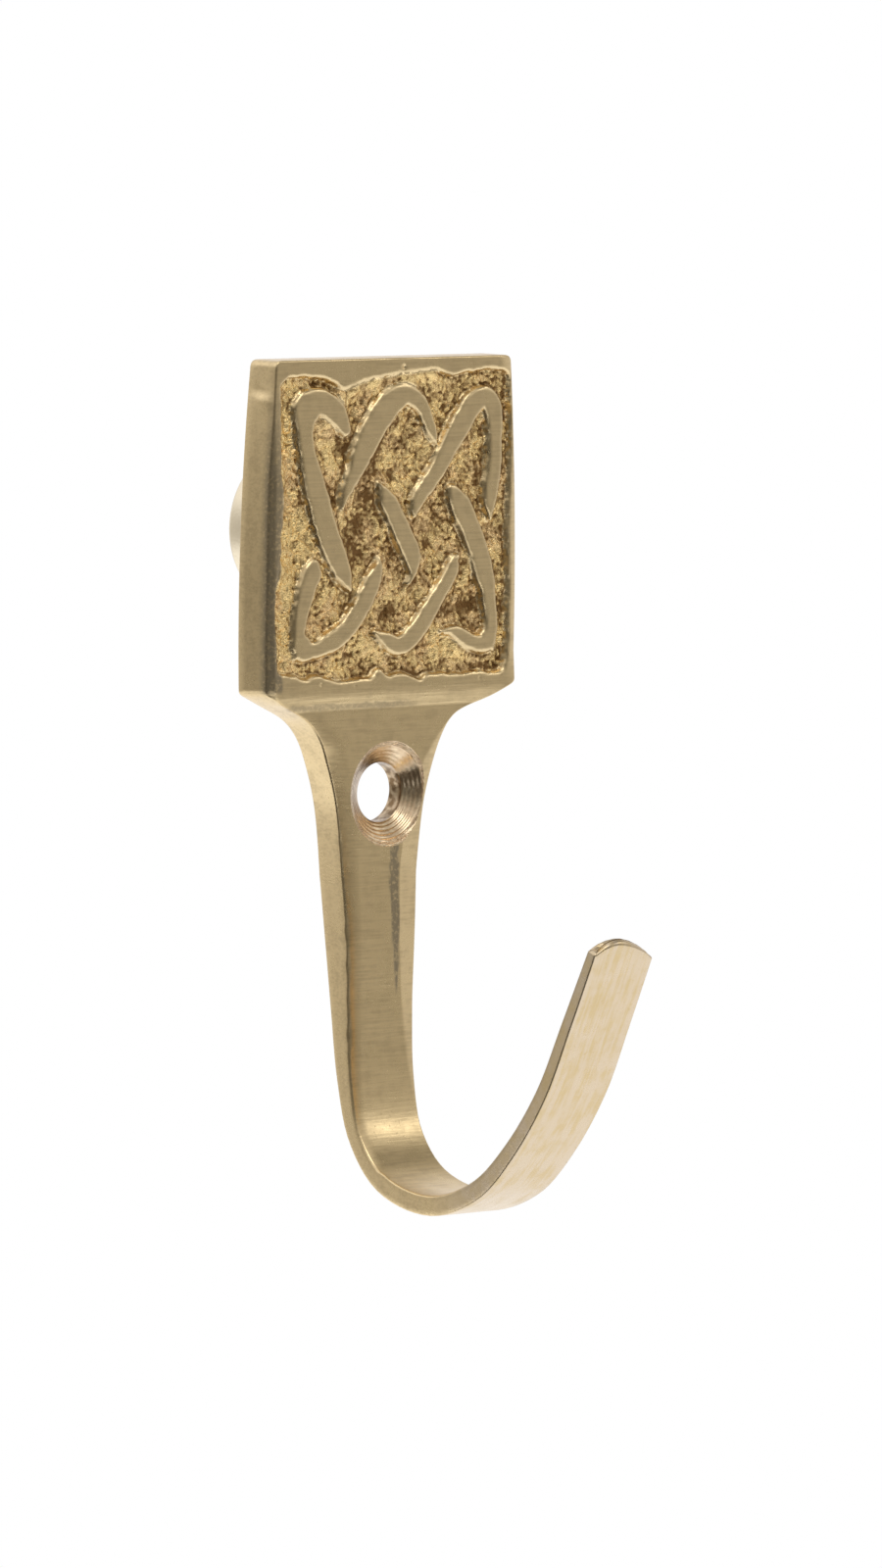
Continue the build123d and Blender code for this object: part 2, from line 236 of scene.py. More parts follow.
rim_edge = [(-13.5, 34.7), (-13.4, 30.2), (-13.3, 27.7), (-12.9, 24.8), (-13.2, 22.2),
            (-13.3, 19.9), (-13.8, 17.1), (-13.6, 13.3), (-13.3, 10.6), (-12.5, 10.25),
            (-11.6, 10.2), (-10.2, 9.8), (-9.1, 10.1), (-6.5, 9.6), (-4.0, 9.7), (-2.6, 9.8),
            (-1.7, 10.4), (-0.9, 9.8), (1.0, 10.0), (3.1, 9.4), (3.9, 9.8), (6.5, 9.7),
            (9.5, 9.8), (12.5, 9.8), (12.95, 10.6), (13.2, 17.0), (13.0, 22.9), (13.3, 30.4),
            (13.1, 33.7), (12.9, 35.3), (11.1, 35.75), (8.2, 35.65), (6.2, 35.3), (4.2, 35.8),
            (1.6, 35.7), (-0.6, 35.5), (-2.6, 35.3), (-4.4, 34.9), (-6.2, 34.4), (-7.4, 35.0),
            (-9.0, 35.4), (-11.0, 35.5), (-12.7, 35.4), (-13.5, 34.7)]

# Casting flaws: (x, z, radius, height) of pits and nubs on the flats; where the ground was
# left high between the rim and the knot; and its deepest pockets, which also get painted shade
pits = [(0.5, 36.1, 0.16, -0.2), (-1.5, 26.3, 0.18, -0.22), (7.3, 19.4, 0.17, -0.22),
        (-8.5, 9.4, 0.12, -0.1), (-12.6, 9.7, 0.22, 0.1), (-12.4, 10.3, 0.25, 0.16),
        (-4.6, 9.2, 0.1, -0.08), (9.8, 9.3, 0.12, -0.08)]
webs = [(-6.2, 33.6, 1.0, 0.62), (-4.6, 34.4, 1.1, 0.5), (1.0, 35.3, 1.5, 0.55),
        (4.2, 34.9, 1.3, 0.5), (-2.4, 34.9, 1.0, 0.4), (7.3, 12.1, 1.1, 0.55),
        (5.2, 11.6, 0.9, 0.3), (-8.0, 31.0, 1.1, 0.35), (-13.0, 19.0, 1.3, 0.45),
        (-2.6, 12.3, 0.9, 0.35), (-7.2, 27.6, 0.8, 0.25), (6.4, 24.2, 0.6, 0.3),
        (8.9, 27.6, 0.8, 0.2), (-12.4, 15.0, 0.9, 0.2), (0.3, 31.0, 0.8, 0.2)]
pockets = [(-0.1, 27.1, 0.45, 0.4), (4.2, 21.0, 0.6, 0.4), (-0.4, 15.2, 0.7, 0.35),
           (8.9, 15.6, 1.1, 0.25), (0.4, 29.3, 0.9, 0.25), (-4.1, 22.9, 0.9, 0.25),
           (2.7, 22.7, 0.8, 0.2), (-3.3, 25.3, 0.6, 0.2), (-7.7, 14.4, 0.5, 0.15),
           (6.1, 15.4, 0.6, 0.2), (-12.5, 24.0, 0.6, 0.15)]

# Swells as (height, size), grains as (share, size), and sizes of the walls and the ground
edge_waver = [(0.07, 1.1), (0.05, 0.45)]
ground_rolls = [(0.14, 1.7), (0.15, 0.85)]
warm_patches = [(0.22, 2.6), (0.18, 1.2)]
flat_swell = [(0.012, 2.2)]
grains = [(0.45, 0.47), (0.55, 0.3)]
BAND_POINTS, RIM_POINTS = 16, 420
WALL_SPREAD = 0.24
ROUND_START, ROUND_WIDTH, ROUND_LENGTH = 0.3, 0.4, 1.1
GROUND_LEVEL, GROUND_DISH, DISH_WIDTH = -0.52, 0.2, 1.4
DEEPEST, SHALLOWEST = -1.05, -0.06
GRAIN_DEPTH, GRAIN_LOSS, SMOOTH_ABOVE = 0.34, 0.2, 0.5
WALL_SHADE, SHADE_GAP, SHADE_WIDTH = 0.35, 0.36, 0.14
POCKET_SHADE = 2.0
WARM_STRIP, WARM_STRIP_X, WARM_STRIP_WIDTH = 0.36, -12.2, 1.3
GROUND_STARTS, GROUND_BLEND = 0.17, 0.14
FAR = 99.0
dice = np.random.default_rng(7)


def swell(x, z, size):
    """Soft random hills and hollows of about this size, between -1 and 1."""
    count, offset = 128, 40
    lattice = dice.uniform(-1, 1, (count, count))
    u, v = x / size + offset, z / size + offset
    i, j = np.floor(u).astype(int), np.floor(v).astype(int)
    a, b = u - i, v - j
    a, b = a * a * (3 - 2 * a), b * b * (3 - 2 * b)

    def at(di, dj):
        return lattice[(i + di) % count, (j + dj) % count]

    lower = at(0, 0) * (1 - a) + at(1, 0) * a
    upper = at(0, 1) * (1 - a) + at(1, 1) * a
    return lower * (1 - b) + upper * b


def swells(x, z, layers):
    """Swells added up, each given as (height, size)."""
    return sum(height * swell(x, z, size) for height, size in layers)


def pebbles(x, z, size):
    """A bed of rounded grains of about this size: 1 on a grain's crown, 0 between grains."""
    count, offset = 256, 90
    shift_x, shift_z = dice.uniform(0, 1, (2, count, count))
    tall = dice.uniform(0.45, 1, (count, count))
    u, v = x / size + offset, z / size + offset
    i, j = np.floor(u).astype(int), np.floor(v).astype(int)
    best = np.zeros_like(u)
    for di in (-1, 0, 1):
        for dj in (-1, 0, 1):
            a, b = (i + di) % count, (j + dj) % count
            gap = (u - i - di - shift_x[a, b]) ** 2 + (v - j - dj - shift_z[a, b]) ** 2
            best = np.maximum(best, tall[a, b] * np.clip(1 - gap / 0.6, 0, 1))
    return best


def past_band(x, z, stations):
    """How far each point lies outside a band; negative on the band."""
    line = smooth_line(stations, BAND_POINTS * len(stations))
    gap = np.full(x.shape, FAR)
    for px, pz, half in line:
        gap = np.minimum(gap, np.hypot(x - px, z - pz) - half)
    return gap


def inside_rim(x, z):
    """How far each point lies inside the rim's edge; negative on the rim."""
    line = smooth_line(rim_edge, RIM_POINTS)
    gap = np.full(x.shape, FAR)
    crossings = np.zeros(x.shape, int)
    for (ax, az), (bx, bz) in zip(line[:-1], line[1:]):
        t = ((x - ax) * (bx - ax) + (z - az) * (bz - az)) / ((bx - ax) ** 2 + (bz - az) ** 2)
        t = np.clip(t, 0, 1)
        gap = np.minimum(gap, np.hypot(x - ax - t * (bx - ax), z - az - t * (bz - az)))
        spans = (az > z) != (bz > z)
        crossings += spans & (x < ax + (z - az) / (bz - az + 1e-12) * (bx - ax))
    return np.where(crossings % 2 == 1, gap, -gap)


def ease(t):
    """A smooth step from 0 to 1."""
    t = np.clip(t, 0, 1)
    return t * t * (3 - 2 * t)


def mound(x, z, centre_x, centre_z, radius):
    """A soft round mound of height 1."""
    return np.exp(-((x - centre_x) ** 2 + (z - centre_z) ** 2) / radius**2)


def carve(x, z):
    """Height of the plate's face, how much is ground, and the ground's tone: grain with a painted
    highlight on its crowns and painted shade between them, in low ground, at the walls' feet and
    in pockets.
    """
    waver = swells(x, z, edge_waver)
    gap = inside_rim(x, z)
    for stations in knot:
        gap = np.minimum(gap, past_band(x, z, stations))
    gap = gap + waver
    wall = ease(gap / WALL_SPREAD)
    # Painted shade darkens the ground's tone at the walls' feet and in the pockets
    shade = WALL_SHADE * np.exp(-(((gap - SHADE_GAP) / SHADE_WIDTH) ** 2))
    rolling = swells(x, z, ground_rolls)
    for centre_x, centre_z, radius, lift in webs:
        rolling += lift * mound(x, z, centre_x, centre_z, radius)
    for centre_x, centre_z, radius, drop in pockets:
        pocket = drop * mound(x, z, centre_x, centre_z, radius)
        rolling -= pocket
        shade += POCKET_SHADE * pocket
    grain = sum(share * pebbles(x, z, size) for share, size in grains)
    grain_depth = GRAIN_DEPTH - GRAIN_LOSS * np.clip(rolling / SMOOTH_ABOVE, 0, 1)
    ground = GROUND_LEVEL - GROUND_DISH * ease(gap / DISH_WIDTH)
    ground = np.clip(ground + rolling + grain_depth * (grain - 0.5), DEEPEST, SHALLOWEST)
    rounding = np.clip(gap + ROUND_START, 0, ROUND_WIDTH) ** 2 / ROUND_LENGTH
    face = swells(x, z, flat_swell) - rounding
    for centre_x, centre_z, radius, lift in pits:
        face += lift * mound(x, z, centre_x, centre_z, radius)
    warmth = swells(x, z, warm_patches)
    warmth += WARM_STRIP * np.exp(-(((x - WARM_STRIP_X) / WARM_STRIP_WIDTH) ** 2))
    # The ground's tone: grain, with a painted highlight on its crowns and painted shade between
    # them, in low ground, at the walls' feet and in the pockets, plus random warm patches and a
    # warmer strip on the left
    crown = 0.62 + 1.2 * (grain - 0.5) - 0.8 * shade + 0.6 * rolling + warmth
    height = np.minimum(face * (1 - wall) + ground * wall, 0.0)
    return height, ease((gap - GROUND_STARTS) / GROUND_BLEND), np.clip(crown, 0, 1)


# The skin of the casting
# Rings of points are laid across the hook, close together where the face is carved and
# wider on the plain strap. The front edges of the shank and the left edge of the plate
# were filed to narrow facets; the right facet leaves a stripe of cast skin beside it.
FRONT_COLUMNS, BACK_COLUMNS = 216, 10
PLATE_ROW, FOOT_ROW, BEVEL_ROW, NECK_ROW, STRAP_ROW = 0.127, 0.07, 0.13, 0.4, 0.95
FOOT_START, FOOT_LENGTH, BEVEL_LENGTH = 0.1, 1.3, 4
EDGE_ROUND = 0.16
TIP_ROUND = 0.42


def ring_columns():
    """A ring as columns: share across, edge shift across, share of depth, shift in depth."""
    turn = np.radians([0, 30, 60])
    columns = [(0, 1 - math.cos(a), 1, math.sin(a) - 1) for a in turn]
    columns += [(f, 1 - 2 * f, 1, 0) for f in np.linspace(0, 1, FRONT_COLUMNS)]
    columns += [(1, math.cos(a) - 1, 1, math.sin(a) - 1) for a in turn[::-1]]
    columns += [(1, 0, g, 1 - 2 * g) for g in (0.75, 0.5, 0.25)]
    columns += [(1, math.cos(a) - 1, 0, 1 - math.sin(a)) for a in turn]
    columns += [(f, 1 - 2 * f, 0, 0) for f in np.linspace(1, 0, BACK_COLUMNS)]
    columns += [(0, 1 - math.cos(a), 0, 1 - math.sin(a)) for a in turn[::-1]]
    columns += [(0, 0, g, 1 - 2 * g) for g in (0.25, 0.5, 0.75)]
    return np.array(columns).T


def row_stations():
    """Distances down the hook at which the rings lie, and how far each is drawn in."""
    turn = np.radians([0, 15, 30, 45, 60, 75, 90])
    rows = list(EDGE_ROUND - EDGE_ROUND * np.cos(turn))
    foot = plate_top - plate_foot - FOOT_START
    bevel, neck = foot + FOOT_LENGTH, foot + BEVEL_LENGTH
    rows += list(np.arange(rows[-1] + PLATE_ROW, foot, PLATE_ROW))
    rows += list(np.arange(foot, bevel, FOOT_ROW))
    rows += list(np.arange(bevel, neck, BEVEL_ROW))
    rows += list(np.arange(neck, flat_length, NECK_ROW))
    rows += list(np.linspace(flat_length, length - TIP_ROUND, int(strap_run[-1] / STRAP_ROW)))
    rows += list(length - TIP_ROUND + TIP_ROUND * np.sin(turn[1:]))
    rows = np.array(rows)
    drawn_in = EDGE_ROUND - np.sqrt(np.clip(EDGE_ROUND**2 - (EDGE_ROUND - rows) ** 2, 0, None))
    drawn_in[rows > EDGE_ROUND] = 0
    near_tip = np.clip(rows - (length - TIP_ROUND), 0, TIP_ROUND)
    drawn_in += TIP_ROUND - np.sqrt(TIP_ROUND**2 - near_tip**2)
    return rows, drawn_in


# Nicks in the shank's left front corner, as (height, depth), and sizes of the facets; the
# left one fades where the arm begins, measured back from the tip
NICK_HEIGHT, NICK_WIDTH = 0.22, 0.3
nicks = [(-7.4, 0.22), (-11.8, 0.16), (-14.6, 0.14), (-17.3, 0.2), (-18.2, 0.12),
         (-20.4, 0.18), (-22.1, 0.1), (-4.1, 0.1), (-9.6, 0.1)]
FACET_FOOT = 8.1
FACET_END_SHARE = 0.4
ARM_START, ARM_REACHED = 34, 26
RIGHT_EDGE_DROP, RIGHT_EDGE_WIDTH = 0.3, 1.6
DROP_FOOT, DROP_FADE = 8.5, 3
THINNEST = 0.01


def facets(x, s, left, right, z):
    """How much the filed facets take off the front at each point."""
    on_shank = s < flat_length + FACET_END_SHARE * strap_run[-1]
    above_neck = z > FACET_FOOT
    plate_share = np.interp(z, [FACET_FOOT, 8.7, 17.8, 26.8, 33.2], [0, 1, 0.88, 0.8, 0])
    shank_width = np.interp(z, [-27, -12, 4, 7], [1.2, 1.5, 2.4, 2.4])
    shank_depth = np.interp(z, [-30, -24, -12, -5, 3, 7.5], [0.2, 0.25, 0.3, 0.36, 0.37, 0])
    width = np.where(above_neck, LEFT_WIDTH * plate_share, shank_width)
    depth = np.where(above_neck, LEFT_DEPTH * plate_share, shank_depth)
    depth = depth * (above_neck | on_shank)
    depth = depth * np.interp(s, [length - ARM_START, length - ARM_REACHED], [1, 0.35])
    from_left = np.clip(1 - (x - left) / np.maximum(width, THINNEST), 0, 1)
    off_left = depth * np.where(above_neck, from_left, from_left**2)
    for nick_z, size in nicks:
        nick = np.exp(-(((z - nick_z) / NICK_HEIGHT) ** 2) - ((x - left) / NICK_WIDTH) ** 2)
        off_left += size * nick * on_shank
    right_share = np.interp(-z, -neck_z, right_shares) * on_shank
    right_width = np.maximum(RIGHT_WIDTH * right_share, THINNEST)
    off_right = RIGHT_DEPTH * right_share * np.clip(1 - (right - x) / right_width, 0, 1)
    at_edge = np.clip(1 - (right - x) / RIGHT_EDGE_WIDTH, 0, 1)
    off_right += RIGHT_EDGE_DROP * at_edge**2 * np.clip((z - DROP_FOOT) / DROP_FADE, 0, 1)
    return off_left, off_right


share, edge_shift, deep, depth_shift = ring_columns()[:, None, :]
row, inset = np.stack(row_stations())[:, :, None]
front = deep == 1

# The tip's end is a shallow arc, higher on the left, so each column ends at its own length
end_drop = np.interp(share, [0, 0.04, 0.1, 0.2, 0.32, 0.42, 0.6, 0.8, 0.9, 0.96, 1],
                     [0.95, 0.66, 0.38, 0.12, 0, 0.02, 0.28, 0.76, 1.08, 1.34, 1.6])
TAPERED_END = 4.0
s = row - end_drop * np.clip((row - (length - TAPERED_END)) / TAPERED_END, 0, 1)
z_back = np.interp(s, table_s, table_z)

# The plate's left side leans in towards the front, and has a shallow dent near its top
DENT_Z, DENT_TILT, DENT_SIZE, DENT_DEPTH = 34.2, 0.6, 0.75, 0.3
lean = np.interp(z_back, [plate_foot - 1, plate_foot, 17.8, 26.8, 33.2, plate_top],
                 [0, 0.55, 0.6, 0.39, 0.18, 0])
dent = (z_back - DENT_Z + DENT_TILT * deep) / DENT_SIZE
left = edge_x(-1, s) + lean * deep
left = left + DENT_DEPTH * dent * np.exp(-dent**2) * np.sin(np.pi * deep) ** 0.7
right = edge_x(1, s)
x = left + (right - left) * share + edge_shift * EDGE_ROUND + inset * (1 - 2 * share)

off_left, off_right = facets(x, s, left, right, z_back)
height = thickness(s) - off_left - off_right
on_face = (z_back > plate_foot) & front & (row > EDGE_ROUND)
carved, ground_mask, grain_light_and_shade_mask = np.zeros((3, *x.shape))
relief = carve(x[on_face], z_back[on_face])
carved[on_face], ground_mask[on_face], grain_light_and_shade_mask[on_face] = relief
height = height + carved
ripple = swells(s, x * 0.4, [(0.008, 3.0)])
height = height - np.abs(ripple) * front * (z_back < plate_foot)
round_by = np.minimum(EDGE_ROUND, 0.45 * height)
d = height * deep + round_by * depth_shift + inset * (1 - 2 * deep)
y = np.interp(s, table_s, table_y) + np.interp(s, table_s, table_ny) * d
z = z_back + np.interp(s, table_s, table_nz) * d

# Dull cast skin was left between the ground flat and the right facet of the shank, in a strip
# under the plate's foot, and on the arm's edge and tip. The plate's left facet gets the same
# dull colour as painted shade.
STRIPE_END = 12
FACET_SKIN_WIDTH, ARM_SKIN_WIDTH = 1.55, 0.55
FOOT_SKIN_LEFT, FOOT_SKIN_RIGHT, FOOT_SKIN_LOW, FOOT_SKIN_HIGH = -12.8, 4.5, 7.05, 7.85
TIP_SKIN_LENGTH, TIP_SKIN_INSET = 2.6, 0.6
stripe_z = [-17.4, -15.5, -11.7, -8.0, -4.8, -3.9]
stripe_left = np.interp(z_back, stripe_z, [0.45, 0.0, -0.35, -0.42, -0.32, 0.1])
stripe_right = np.interp(z_back, stripe_z, [0.55, 0.68, 0.8, 0.85, 0.85, 0.5])
ragged = swells(x, z_back, [(0.12, 0.35)])
on_front = s < flat_length
to_tip = s - length
shank_skin = ease((x - stripe_left + ragged) / 0.22) * ease((stripe_right - x + ragged) / 0.2)
shank_skin = shank_skin * (z_back > stripe_z[0]) * (z_back < stripe_z[-1])
shank_skin = shank_skin * (s < flat_length + STRIPE_END)
# The plate's left facet takes the dull skin's dark colour as painted shade, strongest low down and
# fading towards the top
left_facet_shade = np.interp(z_back, [plate_foot - 0.1, plate_foot + 0.3, 27, 33, 34.5],
                       [0, 1, 0.95, 0.45, 0.1])
left_facet_shade = left_facet_shade * ease((FACET_SKIN_WIDTH - (x - left) + 1.5 * ragged) / 0.3)
left_facet_shade = left_facet_shade * on_front * (1 - ground_mask)
foot_skin = ease((x - FOOT_SKIN_LEFT) / 1.5) * ease((FOOT_SKIN_RIGHT - x) / 5)
foot_skin = foot_skin * ease((FOOT_SKIN_HIGH + ragged - z_back) / 0.25)
foot_skin = 0.6 * foot_skin * ease((z_back - FOOT_SKIN_LOW + ragged) / 0.3) * on_front
on_arm = ease((to_tip + ARM_START) / (ARM_START - ARM_REACHED))
arm_skin = 0.55 * on_arm * ease((ARM_SKIN_WIDTH - (x - left) + ragged) / 0.5) * on_arm
tip_skin = ease(x - left - TIP_SKIN_INSET) * ease(right - x - TIP_SKIN_INSET)
tip_skin = 0.62 * ease((to_tip + TIP_SKIN_LENGTH + 2 * ragged) / 1.2) * tip_skin
dull_skin_and_facet_shade = np.maximum.reduce([shank_skin, left_facet_shade, foot_skin, arm_skin, tip_skin]) * front

count_rows, count_columns = x.shape
points = np.stack([x, y, z], -1).reshape(-1, 3) * MM
index = np.arange(count_rows * count_columns).reshape(count_rows, count_columns)
beside = np.roll(index, -1, axis=1)
quads = np.stack([index[:-1], beside[:-1], beside[1:], index[1:]], -1).reshape(-1, 4)
caps = [index[0, ::-1].tolist(), index[-1].tolist()]

# Squares on a sloping wall are split along the diagonal that runs with the wall
TWIST = 0.01
p, q, r, t = d.reshape(-1)[quads].T
twisted = (np.abs(p + r - q - t) > TWIST) & on_face.reshape(-1)[quads].all(1)
other_way = (np.abs(p - r) > np.abs(q - t))[twisted][:, None]
first = np.where(other_way, quads[twisted][:, [0, 1, 3]], quads[twisted][:, [0, 1, 2]])
second = np.where(other_way, quads[twisted][:, [1, 2, 3]], quads[twisted][:, [0, 2, 3]])
faces = quads[~twisted].tolist() + first.tolist() + second.tolist() + caps


def new_object(name, data):
    """Puts a mesh, lamp or camera in the scene under a name."""
    thing = bpy.data.objects.new(name, data)
    bpy.context.scene.collection.objects.link(thing)
    return thing


def face_outwards(mesh, split_over):
    """Splits faces with more corners than this, and turns a closed skin's faces outwards."""
    work = bmesh.new()
    work.from_mesh(mesh)
    bmesh.ops.triangulate(work, faces=[f for f in work.faces if len(f.verts) > split_over])
    bmesh.ops.recalc_face_normals(work, faces=work.faces)
    work.to_mesh(mesh)
    work.free()


skin = bpy.data.meshes.new("wall_hook_casting")
skin.from_pydata(points.tolist(), [], faces)
# The crown mark holds the ground's tone, with its painted highlight and painted shade
# The stripe mark holds the dull skin and the painted shade on the plate's left facet
for name, values in (("ground", ground_mask), ("crown", grain_light_and_shade_mask), ("stripe", dull_skin_and_facet_shade),
                     ("arm", on_arm)):
    layer = skin.attributes.new(name, "FLOAT", "POINT")
    layer.data.foreach_set("value", values.reshape(-1).astype(np.float32))
casting = new_object("wall_hook_casting", skin)
face_outwards(skin, 4)


def lathe(name, profile, centre, steps=96):
    """A closed turned body from (radius, y) points, about an axis along Y."""
    verts, faces = [], []
    for radius, y in profile:
        for a in np.linspace(0, 2 * math.pi, steps, endpoint=False):
            across, up = centre[0] + radius * math.cos(a), centre[1] + radius * math.sin(a)
            verts.append((across * MM, y * MM, up * MM))
    for k in range(len(profile) - 1):
        here, after = k * steps, (k + 1) * steps
        for i in range(steps):
            j = (i + 1) % steps
            faces.append((here + i, here + j, after + j, after + i))
    last = (len(profile) - 1) * steps
    faces += [tuple(range(steps))[::-1], tuple(range(last, last + steps))]
    mesh = bpy.data.meshes.new(name)
    mesh.from_pydata(verts, [], faces)
    face_outwards(mesh, steps)
    return new_object(name, mesh)


def join_solid(piece, other, operation):
    """Adds a turned body to the casting or cuts it out, and leaves one clean skin."""
    join = piece.modifiers.new("join", "BOOLEAN")
    join.operation = operation
    join.solver = "EXACT"
    join.object = other
    shaped = piece.evaluated_get(bpy.context.evaluated_depsgraph_get())
    shape = bpy.data.meshes.new_from_object(shaped)
    piece.modifiers.clear()
    old = piece.data
    piece.data = shape
    bpy.data.meshes.remove(old)
    bpy.data.objects.remove(other)


# The boss on the back
# A round stub behind the plate, of which only a sliver shows. It is taken to be cast with
# the plate and to sit in a hole in the wall, which would stop the plate turning about its
# one screw. Its length, bevelled end and plain turned side are guesses too.
boss_radius = 6.8
boss_length = high[1] / MM
boss_z = plate_foot + plate_height / 2 - 0.85
BOSS_BEVEL = 0.5
BOSS_SUNK, BOSS_START, BOSS_STEPS = 1.0, 0.4, 8
boss_end_radius = 2.0
boss_profile = [(boss_radius, -BOSS_SUNK), (boss_radius, BOSS_START)]
for k in range(1, BOSS_STEPS + 1):
    side_length = boss_length - BOSS_START - BOSS_BEVEL
    boss_profile.append((boss_radius, BOSS_START + k * side_length / BOSS_STEPS))
for a in np.radians(np.linspace(12, 78, 5)):
    boss_profile.append((boss_radius - BOSS_BEVEL * (1 - math.cos(a)),
                         boss_length - BOSS_BEVEL * (1 - math.sin(a))))
boss_profile += [(boss_radius - BOSS_BEVEL, boss_length), (boss_end_radius, boss_length)]
join_solid(casting, lathe("boss", boss_profile, (plate_centre, boss_z)), "UNION")

# The screw hole
# Drilled through the neck and countersunk from the front with a turning cutter, which
# left rings in the cone, deepest below. The cutter sat a little to the left of the drill.
hole_radius = 2.55
countersink_radius = 4.5
hole_wall = 1.5
cone_depth = shank_thickness - hole_wall
cone_spread = countersink_radius - hole_radius
RING_PITCH, RING_DEPTH, CONE_SHIFT = 0.44, 0.011, -0.45
SHALLOW_RINGS, DEEPER_BELOW = 0.35, 2.2
CUTTER_BACK = 0.5
CONE_STEPS, CUTTER_STEPS = 64, 112
CONE_REACH = 0.12
slope_length = math.hypot(cone_spread, cone_depth)
cone = [(hole_radius, CUTTER_BACK), (hole_radius, -hole_wall)]
for k in range(1, CONE_STEPS + 1):
    t = k / CONE_STEPS
    cone.append((hole_radius + t * cone_spread, -hole_wall - t * cone_depth))
cone.append((2 * countersink_radius - hole_radius, hole_wall - 2 * shank_thickness))
cutter = lathe("cutter", cone, (0, 0), CUTTER_STEPS)


def up_cone(depth):
    """How far up the cone a depth below the back lies: 0 at the bore, 1 at the rim."""
    return min(1, max(0, (depth - hole_wall) / cone_depth))


for vertex in cutter.data.vertices:
    t = up_cone(-vertex.co.y / MM)
    lower = 0.5 - 0.5 * math.sin(math.atan2(vertex.co.z, vertex.co.x))
    fade = min(1, 8 * t) * min(1, 6 * (1 - t))
    ring = RING_DEPTH * (SHALLOW_RINGS + DEEPER_BELOW * lower**2) * fade
    ring *= 1 - math.cos(2 * math.pi * t * slope_length / RING_PITCH)
    narrower = 1 - ring / math.hypot(vertex.co.x / MM, vertex.co.z / MM)
    vertex.co.x = vertex.co.x * narrower + CONE_SHIFT * MM * t
    vertex.co.z *= narrower
join_solid(casting, cutter, "DIFFERENCE")
turned = []
for face in casting.data.polygons:
    face_x, face_y, face_z = face.center / MM
    t = up_cone(-face_y)
    from_axis = face_x - CONE_SHIFT * t
    off = math.hypot(from_axis, face_z) - hole_radius - t * cone_spread
    inward = face.normal.x * from_axis + face.normal.z * face_z
    in_hole = abs(off) < CONE_REACH and -shank_thickness < face_y < 0 and inward < -1
    turned.append(1.0 if in_hole else 0.0)
casting.data.attributes.new("turned", "FLOAT", "FACE").data.foreach_set("value", turned)

# The brass
# Bare cast brass. The flats, sides and strap were brushed on a fine belt, which left lines
# across them; the ground kept its grainy skin, more golden than the flats, and a stripe
# down the shank kept a dull grey one.
polished_brass = (0.79, 0.605, 0.325, 1)
dull_brass = (0.65, 0.495, 0.265, 1)
# The arm's paler, greyer brass is a painted highlight, for the washed-out shine of its bright face
arm_highlight_brass = (0.69, 0.555, 0.375, 1)
golden_ground = (0.96, 0.695, 0.30, 1)
rosy_ground = (0.74, 0.48, 0.25, 1)
deep_ground = (0.24, 0.13, 0.045, 1)
# The cast skin's colour also serves as painted shade on the plate's left facet
cast_skin_and_shade = (0.34, 0.27, 0.165, 1)
bright_cone, dull_cone = (0.90, 0.72, 0.47, 1), (0.74, 0.55, 0.34, 1)
dark_bore, light_bore = (0.22, 0.14, 0.07, 1), (0.58, 0.44, 0.28, 1)
# The boss's pale brass is a painted highlight
boss_highlight_brass = (0.88, 0.76, 0.54, 1)
BORE_FRONT, BORE_BLEND = -0.0016, -0.0014
BOSS_FRONT, BOSS_BLEND = 0.0002, 0.0004
SHARP_ANGLE = math.radians(42)


def start_nodes(owner):
    """Empties the nodes of a material or the world, ready for new ones."""
    owner.use_nodes = True
    owner.node_tree.nodes.clear()
    return owner.node_tree


def add_node(kind, **settings):
    """A node with its settings; a setting named in_X goes to the node's input X."""
    node = tree.nodes.new(kind)
    for name, value in settings.items():
        if name.startswith("in_"):
            node.inputs[name[3:].replace("_", " ")].default_value = value
        else:
            setattr(node, name, value)
    return node


def link(source, target):
    """Joins a node's output to another's input."""
    tree.links.new(source, target)


def marked(name):
    """What one of the skin's own marks says at a point."""
    return add_node("ShaderNodeAttribute", attribute_name=name).outputs["Fac"]


def stretched(scale):
    """Places on the object, stretched by a scale along each axis."""
    node = add_node("ShaderNodeMapping", in_Scale=scale)
    link(place, node.inputs["Vector"])
    return node.outputs["Vector"]


def noise_over(vector, scale, detail, roughness=0.5):
    """Fine or coarse noise, so many waves to the metre."""
    node = add_node("ShaderNodeTexNoise", in_Scale=scale, in_Detail=detail,
                    in_Roughness=roughness)
    link(vector, node.inputs["Vector"])
    return node.outputs["Fac"]


def spread(value, from_low, from_high, to_low, to_high):
    """Stretches a value from one range to another and holds it there."""
    node = add_node("ShaderNodeMapRange", in_From_Min=from_low, in_From_Max=from_high,
                    in_To_Min=to_low, in_To_Max=to_high)
    link(value, node.inputs["Value"])
    return node.outputs["Result"]


def blend(kind, sockets, factor, choices):
    """Blends two numbers, colours or outputs by a factor."""
    node = add_node("ShaderNodeMix", data_type=kind)
    link(factor, node.inputs["Factor"])
    for socket, choice in zip(sockets, choices):
        if isinstance(choice, (int, float, tuple)):
            node.inputs[socket].default_value = choice
        else:
            link(choice, node.inputs[socket])
    return node


def blend_colour(factor, a, b):
    """Colour a where the factor is 0, colour b where it is 1."""
    return blend("RGBA", (6, 7), factor, (a, b)).outputs[2]


def blend_value(factor, a, b):
    """Value a where the factor is 0, value b where it is 1."""
    return blend("FLOAT", (2, 3), factor, (a, b)).outputs[0]


def combine(operation, *values):
    """Adds several values, multiplies them or takes the largest."""
    total = values[0]
    for value in values[1:]:
        node = add_node("ShaderNodeMath", operation=operation)
        link(total, node.inputs[0])
        link(value, node.inputs[1])
        total = node.outputs[0]
    return total


